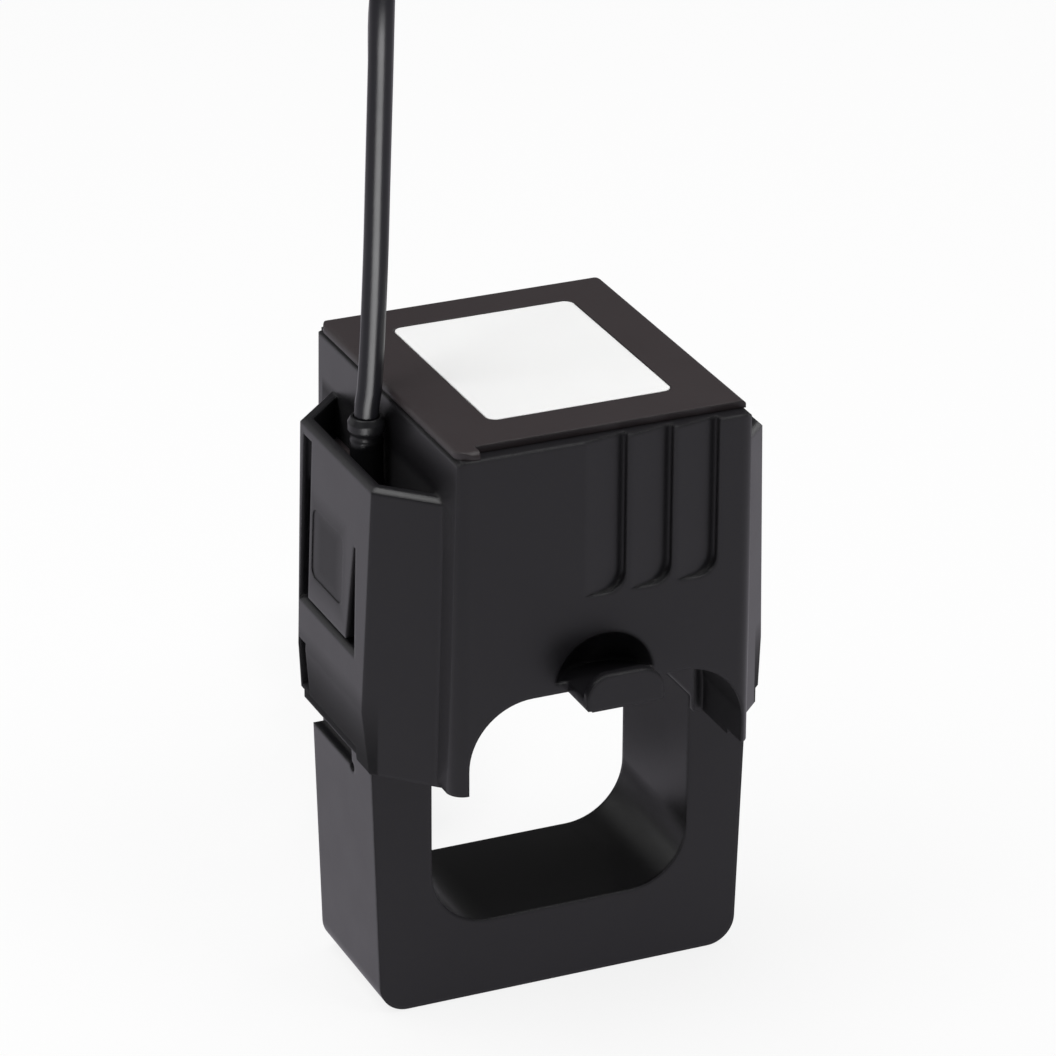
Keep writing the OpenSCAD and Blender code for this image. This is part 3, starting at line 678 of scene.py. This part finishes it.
@dataclass
class OutputCable:
    """The output cable, from its seal over an arch in the air to the tied hank.

    Attributes:
        diameter: outside diameter, in metres.
        length: real length from the seal to the end of the jacket, in metres; not used.
        exit: point where it leaves the seal, in metres; not used.
        route: points from the seal to the hank, in millimetres.
        landing: next point, along, across and above the hank, in millimetres.
        near: centre of the hank's near fold on the floor plane, in millimetres.
        heading: direction of the hank, not normalised.
        hank_middle: height of the hank's middle, in millimetres.
        hank_span: distance between the centres of its folds, in millimetres.
        hank_width: width of the hank, in millimetres.
        columns: turns that lie side by side.
        lead_in: where the first run begins, along the hank, in millimetres.
        waist: height of the runs above and below the middle at the tie, in millimetres.
        tail: length of the end past the near fold, in millimetres.
        tail_steps: points along the tail.
        steps: points along a run or round a fold.
        between: points from one knot of the line to the next.
        sample: least distance between points of the finished line, in metres.
        facets: fineness of the tube round its middle line.
        still: point up to which the cable stays with the yoke, in metres; not used.
        lifted: point from which it goes with the head, in metres; not used.
    """

    diameter: float = 3.7 * MM
    length: float = 1.0
    exit: Triple = (-26.2 * MM, 0.0, 81.5 * MM)
    route: tuple[Triple, ...] = (
        (-26.2, 0, 81.5), (-26.2, 0, 93.1), (-25.7, 0, 97), (-25.2, 0, 104), (-24.9, 0, 110),
        (-24.5, 0, 119), (-24.2, 0, 128), (-23.9, 0, 137), (-23.6, 0, 146), (-23.3, 0, 156),
        (-22.2, 2, 164), (-20.4, 6, 170), (-18, 12, 175), (-15.1, 19, 177), (-12.2, 26, 175),
        (-9.8, 32, 170), (-8.2, 36, 164), (-7.9, 37, 157), (-8, 37, 148), (-8.2, 38, 139),
        (-8.3, 38, 130), (-8.2, 39, 120), (-8.1, 40, 110), (-8.3, 40, 100), (-8.5, 41, 90),
        (-9.4, 42, 80), (-10.8, 42.6, 70), (-12.2, 43.4, 60), (-13.1, 44, 50), (-13.3, 44.1, 40),
        (-12.9, 45.1, 34.6), (-12.1, 47.1, 30), (-10.9, 50, 26.8),
    )
    landing: Triple = (2.4, 5.6, 24.5)
    near: tuple[float, float] = (-4.5, 51.0)
    heading: tuple[float, float] = (0.374, 0.928)
    hank_middle: float = 13.0
    hank_span: float = 56.0
    hank_width: float = 15.0
    columns: int = 4
    lead_in: float = 8.0
    waist: float = 1.9
    tail: float = 24.0
    tail_steps: int = 4
    steps: int = 14
    between: int = 8
    sample: float = 1.6 * MM
    facets: int = 4
    still: Triple = (0.0, 0.044, 0.0571)
    lifted: Triple = (0.0, -0.0023, 0.0733)

    @property
    def radius(self) -> float:
        """Radius of the cable, in millimetres."""
        return self.diameter / MM / 2

    @property
    def fold(self) -> float:
        """Radius of the cable's middle line in the folds, in millimetres."""
        return self.hank_middle - self.radius

    def _at(self, along: float, across: float, height: float) -> Vector:
        """Turns a place in the hank into a point of the part.

        Args:
            along: distance from the near fold along the hank.
            across: distance to the left of the hank's middle.
            height: height above the floor.

        Returns:
            The point, in metres.
        """
        u = Vector((*self.heading, 0.0)).normalized()
        v = Vector((-u.y, u.x, 0.0))
        base = Vector((*self.near, 0.0))
        return (base + along * u + across * v + Vector((0.0, 0.0, height))) * MM

    def _rise(self, along: float) -> float:
        """Height of a run above the hank's middle, drawn in at the tied waist."""
        share = 0.5 + 0.5 * math.cos(2 * math.pi * along / self.hank_span)
        return self.waist + (self.fold - self.waist) * share

    def _run(self, across: float, start: float, end: float, side: int) -> list[Vector]:
        """Points of a run along the hank, above its middle for side 1 and below it for side -1."""
        places = [start + (end - start) * i / self.steps for i in range(self.steps + 1)]
        return [self._at(s, across, self.hank_middle + side * self._rise(s)) for s in places]

    def _half_turn(self, across: float, centre: float, side: int, shift: float) -> list[Vector]:
        """Lays the cable round one fold of the hank.

        Args:
            across: place across the hank where it begins.
            centre: place of the fold along the hank.
            side: 1 for the far fold, which leads down, -1 for the near one, which leads up.
            shift: how far it moves across the hank.

        Returns:
            Its points, without both ends.
        """
        points: list[Vector] = []
        for i in range(1, self.steps):
            angle = math.pi * i / self.steps
            moved = shift * (0.5 - 0.5 * math.cos(angle))
            points.append(self._at(centre + side * self.fold * math.sin(angle), across - moved,
                                   self.hank_middle + side * self.fold * math.cos(angle)))
        return points

    def _hank_points(self) -> list[Vector]:
        """Works out the cable's middle line through the hank.

        Returns:
            Points from the first run to the end of the tail.
        """
        first = self.hank_width / 2 - self.radius
        pitch = 2 * first / (self.columns - 1)
        points: list[Vector] = []
        for column in range(self.columns):
            across = first - column * pitch
            points += self._run(across, 0.0 if column else self.lead_in, self.hank_span, 1)
            points += self._half_turn(across, self.hank_span, 1, 0.0)
            points += self._run(across, self.hank_span, 0.0, -1)
            if column < self.columns - 1:
                points += self._half_turn(across, 0.0, -1, pitch)
        tail = [-self.tail * i / self.tail_steps for i in range(1, self.tail_steps + 1)]
        return points + [self._at(s, -first, self.radius) for s in tail]

    def _curve(self, knots: Sequence[Vector]) -> list[Vector]:
        """Runs a smooth curve through points.

        Args:
            knots: points that the curve passes.

        Returns:
            Closely spaced points of the curve.
        """
        dense: list[Vector] = []
        for i in range(len(knots) - 1):
            p0, p1 = knots[max(i - 1, 0)], knots[i]
            p2, p3 = knots[i + 1], knots[min(i + 2, len(knots) - 1)]
            for k in range(self.between):
                t = k / self.between
                dense.append(0.5 * ((2 * p1) + (p2 - p0) * t + (2 * p0 - 5 * p1 + 4 * p2 - p3) * t * t
                                    + (3 * p1 - p0 - 3 * p2 + p3) * t ** 3))
        return [*dense, knots[-1]]

    def middle_line(self) -> list[Vector]:
        """Runs one smooth line through the route and the hank.

        Returns:
            Evenly spaced points, in metres.
        """
        route = [Vector(p) * MM for p in self.route]
        dense = self._curve([*route, self._at(*self.landing), *self._hank_points()])
        line, gone = [dense[0]], 0.0
        for a, b in zip(dense, dense[1:]):
            gone += (b - a).length
            if gone >= self.sample:
                line.append(b)
                gone = 0.0
        line[-1] = dense[-1]
        return line

    def _tube(self, line: Sequence[Vector]) -> bpy.types.Mesh:
        """Makes a smooth round tube with closed ends.

        Args:
            line: points of its middle line.

        Returns:
            The mesh.
        """
        curve = bpy.data.curves.new("cable_line", "CURVE")
        curve.dimensions = "3D"
        curve.bevel_depth = self.diameter / 2
        curve.bevel_resolution = self.facets
        curve.use_fill_caps = True
        spline = curve.splines.new("POLY")
        spline.points.add(len(line) - 1)
        for point, place in zip(spline.points, line):
            point.co = (*place, 1.0)
        guide = bpy.data.objects.new("cable_line", curve)
        bpy.context.scene.collection.objects.link(guide)
        bpy.context.view_layer.update()
        graph = bpy.context.evaluated_depsgraph_get()
        mesh = bpy.data.meshes.new_from_object(guide.evaluated_get(graph))
        bpy.data.objects.remove(guide)
        mesh.name = "cable"
        mesh.shade_smooth()
        return mesh

    def build(self, shop: FinishShop) -> bpy.types.Object:
        """Makes the cable as one tube and lays it between the two bodies.

        Args:
            shop: where the materials come from.

        Returns:
            The cable.
        """
        line = self.middle_line()
        cable = bpy.data.objects.new("cable", self._tube(line))
        bpy.context.scene.collection.objects.link(cable)
        shop.dress(cable, "cable_jacket")
        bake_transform(cable)
        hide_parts("output_cable", "cable_hank")
        LOG.info("laid %s with %d faces", cable.name, len(cable.data.polygons))
        return cable


def main() -> None:
    """Builds the camera, the cable, the finishes and the studio in order."""
    logging.basicConfig(level=logging.INFO, format="%(name)s: %(message)s")
    studio = Studio()
    studio.build_camera()
    shop = FinishShop(FINISHES)
    cable = OutputCable().build(shop)
    for node in frame["nodes"]:
        shop.dress_node(node)
    studio.build([cable, frame["nodes"]["cable_boot"]])


if __name__ == "__main__":
    main()
